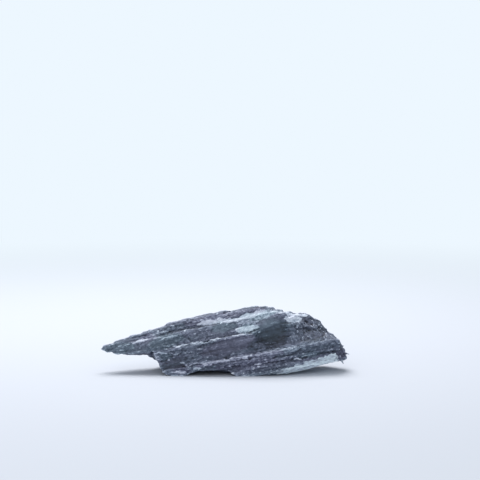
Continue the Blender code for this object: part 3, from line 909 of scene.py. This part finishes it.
def stone_material():
    """Banded stone: its tone, with painted highlight on its edges and along the crest's rim and painted
    shade in its hollows and in some dark marks, its hue from slate to lilac, its pale marks and its vein.
    """
    looks = Looks("banded_stone")
    spot = looks.node("ShaderNodeTexCoord", {}, {}, output="Object")
    x, y, z = (looks.node("ShaderNodeSeparateXYZ", {}, {0: spot}, output=k) / MM for k in range(3))
    bed, pale_and_rim_highlight, tint, dark_and_shade, calm, vein, broken, edge_wear_and_highlight, hollow_shade = (
        looks.attribute(name)
        for name in ("bed", "pale_and_rim_highlight", "tint", "dark_and_shade", "calm", "vein", "broken", "edge_wear_and_highlight", "hollow_shade")
    )

    def beds(length, thickness, detail, roughness, apart):
        place = looks.point(x / length + apart, y / length, bed / thickness)
        return looks.noise(place, detail, roughness) - 0.5

    broad, band, blotch, streak, fleck = (beds(*kind) for kind in (BROAD, BAND, BLOTCH, STREAK, FLECK))
    lean_x, lean_z = SHARD_LEAN
    shard = looks.point(
        (x * lean_x + z * lean_z) / SHARD_THICK, y / SHARD_DEEP, (x * lean_z - z * lean_x) / SHARD_LONG,
    )
    splint = looks.noise(shard, *SHARD_KIND) - 0.5
    whole = 1 - broken

    speckle = fleck * whole + splint * broken
    lively = (1 - calm * CALM_LESS) * (LIVELY_BASE + blotch * LIVELY_BLOTCH)
    flecks = (fleck + edge_wear_and_highlight * FLECK_EDGE + band * FLECK_BAND).step(*FLECK_STEP) * lively * whole
    shards = (splint + edge_wear_and_highlight * SHARD_EDGE).step(*SHARD_STEP) * broken
    tone = BASE_TONE + broad * BROAD_TONE + band * BAND_TONE + streak * STREAK_TONE * whole
    # Dark marks lower the tone: partly darker stone, partly painted shade
    tone = tone + blotch * BLOTCH_TONE + broken * BROKEN_TONE + dark_and_shade * DARK_AND_SHADE_TONE
    # Broad hollows darken the tone and broad bulges lighten it: painted shade and light
    # Fine edges lighten the tone, partly as wear and partly as painted highlight
    tone = tone + speckle * lively * SPECKLE_TONE + edge_wear_and_highlight * EDGE_WEAR_AND_HIGHLIGHT_TONE + hollow_shade * HOLLOW_SHADE_TONE
    tone = tone + flecks * FLECK_TONE + shards * SHARD_TONE
    # Pale marks and the crest rim's painted highlight cover the tone
    paleness = (pale_and_rim_highlight + fleck * PALE_FLECK + streak * PALE_STREAK).step(*PALE_STEP)
    pale_tone = PALE_TONE + fleck * PALE_TONE_FLECK + streak * PALE_TONE_STREAK
    tone = tone * (1 - paleness * PALE_COVER) + paleness * pale_tone

    hue = (tint + broad * HUE_BROAD + band * HUE_BAND).step(*HUE_STEP)
    colour = looks.mix(hue, looks.ramp(tone, SLATE), looks.ramp(tone, LILAC))
    veined = (vein + fleck * VEIN_NOISE + streak * VEIN_NOISE).step(*VEIN_STEP)
    vein_tone = VEIN_TONE + streak * VEIN_TONE_STREAK + fleck * VEIN_TONE_FLECK + band * VEIN_TONE_BAND
    colour = looks.mix(veined, colour, looks.ramp(vein_tone, VEIN))
    rough = BASE_ROUGH + calm * CALM_ROUGH + veined * VEIN_ROUGH + speckle * SPECKLE_ROUGH

    grain = looks.noise(looks.point(x / GRAIN_LENGTH, y / GRAIN_LENGTH, z / GRAIN_LENGTH), *FINE_GRAIN_KIND)
    relief = grain * GRAIN_BUMP + streak * STREAK_BUMP + speckle * SPECKLE_BUMP
    bump = looks.node("ShaderNodeBump", {}, {"Height": relief, "Distance": MM, "Strength": 1.0})
    return looks.finish(Base_Color=colour, Roughness=rough, Normal=bump)


def floor_material():
    """A pale floor that fades into the sky's own white, so that it has no horizon."""
    looks = Looks("pale_floor")
    spot = looks.node("ShaderNodeTexCoord", {}, {}, output="Object")
    away = looks.node("ShaderNodeVectorMath", {"operation": "LENGTH"}, {0: spot}, output="Value")
    faded = away.step(FADE_START, FADE_END)
    base = looks.mix(faded, linear(FLOOR_WHITE), BLACK)
    glow = looks.mix(faded, BLACK, linear(SKY_WHITE))
    return looks.finish(
        Base_Color=base, Emission_Color=glow, Emission_Strength=1.0, Roughness=FLOOR_ROUGH,
        Specular_IOR_Level=0.0,
    )


# The camera, in the stone's own design frame: it looks along +Y and a little down
IMAGE_SIZE = 480
PIXEL = 0.8
AWAY = 1250.0
LOOKS_DOWN = math.radians(5.5)
SENSOR = 36.0
# The foot of the stone's front at X = 0, and the pixel it has in the photograph
NEAR_FOOT = Vector((0, FRONT_PLANE, 0))
NEAR_FOOT_PIXEL = (224, 376)

# The floor's radius in metres, its sides, and between which distances it fades into the sky
FLOOR_RADIUS, FLOOR_SIDES = 40.0, 64
FLOOR_ROUGH = 0.9
FADE_START, FADE_END = 0.2, 1.15
# The sky's light on the stone, as a share of its brightness in the picture
SKY_SHARE = 0.6
# Soft lights, in metres and watts: name, place, size and power. Each points at the stone.
LIGHTS = [
    ("key", (-0.15, 0.4, 1.05), 0.8, 14.5),
    ("fill", (-0.3, -1.1, 0.6), 0.9, 3.5),
]


def add_camera(shift):
    """Puts the camera where the foot of the stone's front falls on its own pixel."""
    ahead = Vector((0, math.cos(LOOKS_DOWN), -math.sin(LOOKS_DOWN)))
    above = Vector((0, math.sin(LOOKS_DOWN), math.cos(LOOKS_DOWN)))
    right = (IMAGE_SIZE / 2 - NEAR_FOOT_PIXEL[0]) * PIXEL
    up = (NEAR_FOOT_PIXEL[1] - IMAGE_SIZE / 2) * PIXEL
    data = bpy.data.cameras.new("camera")
    data.sensor_width = SENSOR
    data.lens = SENSOR * AWAY / (IMAGE_SIZE * PIXEL)
    camera = bpy.data.objects.new("camera", data)
    place = NEAR_FOOT + shift + Vector((right, 0, 0)) + above * up - ahead * AWAY
    camera.location = place * MM
    camera.rotation_euler = ahead.to_track_quat("-Z", "Y").to_euler()
    bpy.context.scene.collection.objects.link(camera)
    bpy.context.scene.camera = camera


def add_lights():
    """Soft lights above and in front, and a pale sky that lights the stone less than it shows."""
    for name, place, size, power in LIGHTS:
        data = bpy.data.lights.new(name, "AREA")
        data.size = size
        data.energy = power
        light = bpy.data.objects.new(name, data)
        light.location = place
        light.rotation_euler = (-Vector(place)).to_track_quat("-Z", "Y").to_euler()
        bpy.context.scene.collection.objects.link(light)
    world = bpy.data.worlds.new("sky")
    world.use_nodes = True
    sky = world.node_tree.nodes["Background"]
    sky.inputs["Color"].default_value = linear(SKY_WHITE)
    seen = world.node_tree.nodes.new("ShaderNodeLightPath")
    strength = world.node_tree.nodes.new("ShaderNodeMapRange")
    strength.inputs["To Min"].default_value = SKY_SHARE
    world.node_tree.links.new(seen.outputs["Is Camera Ray"], strength.inputs["Value"])
    world.node_tree.links.new(strength.outputs["Result"], sky.inputs["Strength"])
    bpy.context.scene.world = world
    bpy.context.scene.view_settings.view_transform = "Standard"


def add_floor():
    """A wide round floor at ground level."""
    bm = bmesh.new()
    bmesh.ops.create_circle(bm, cap_ends=True, segments=FLOOR_SIDES, radius=FLOOR_RADIUS)
    mesh = bpy.data.meshes.new("floor")
    bm.to_mesh(mesh)
    bm.free()
    mesh.materials.append(floor_material())
    floor = bpy.data.objects.new("floor", mesh)
    bpy.context.scene.collection.objects.link(floor)


stone = build_stone()
stone.data.materials.append(stone_material())
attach(stone, "root")
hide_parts(NODE)
add_floor()
add_lights()
add_camera(Vector(stone["shift"]))
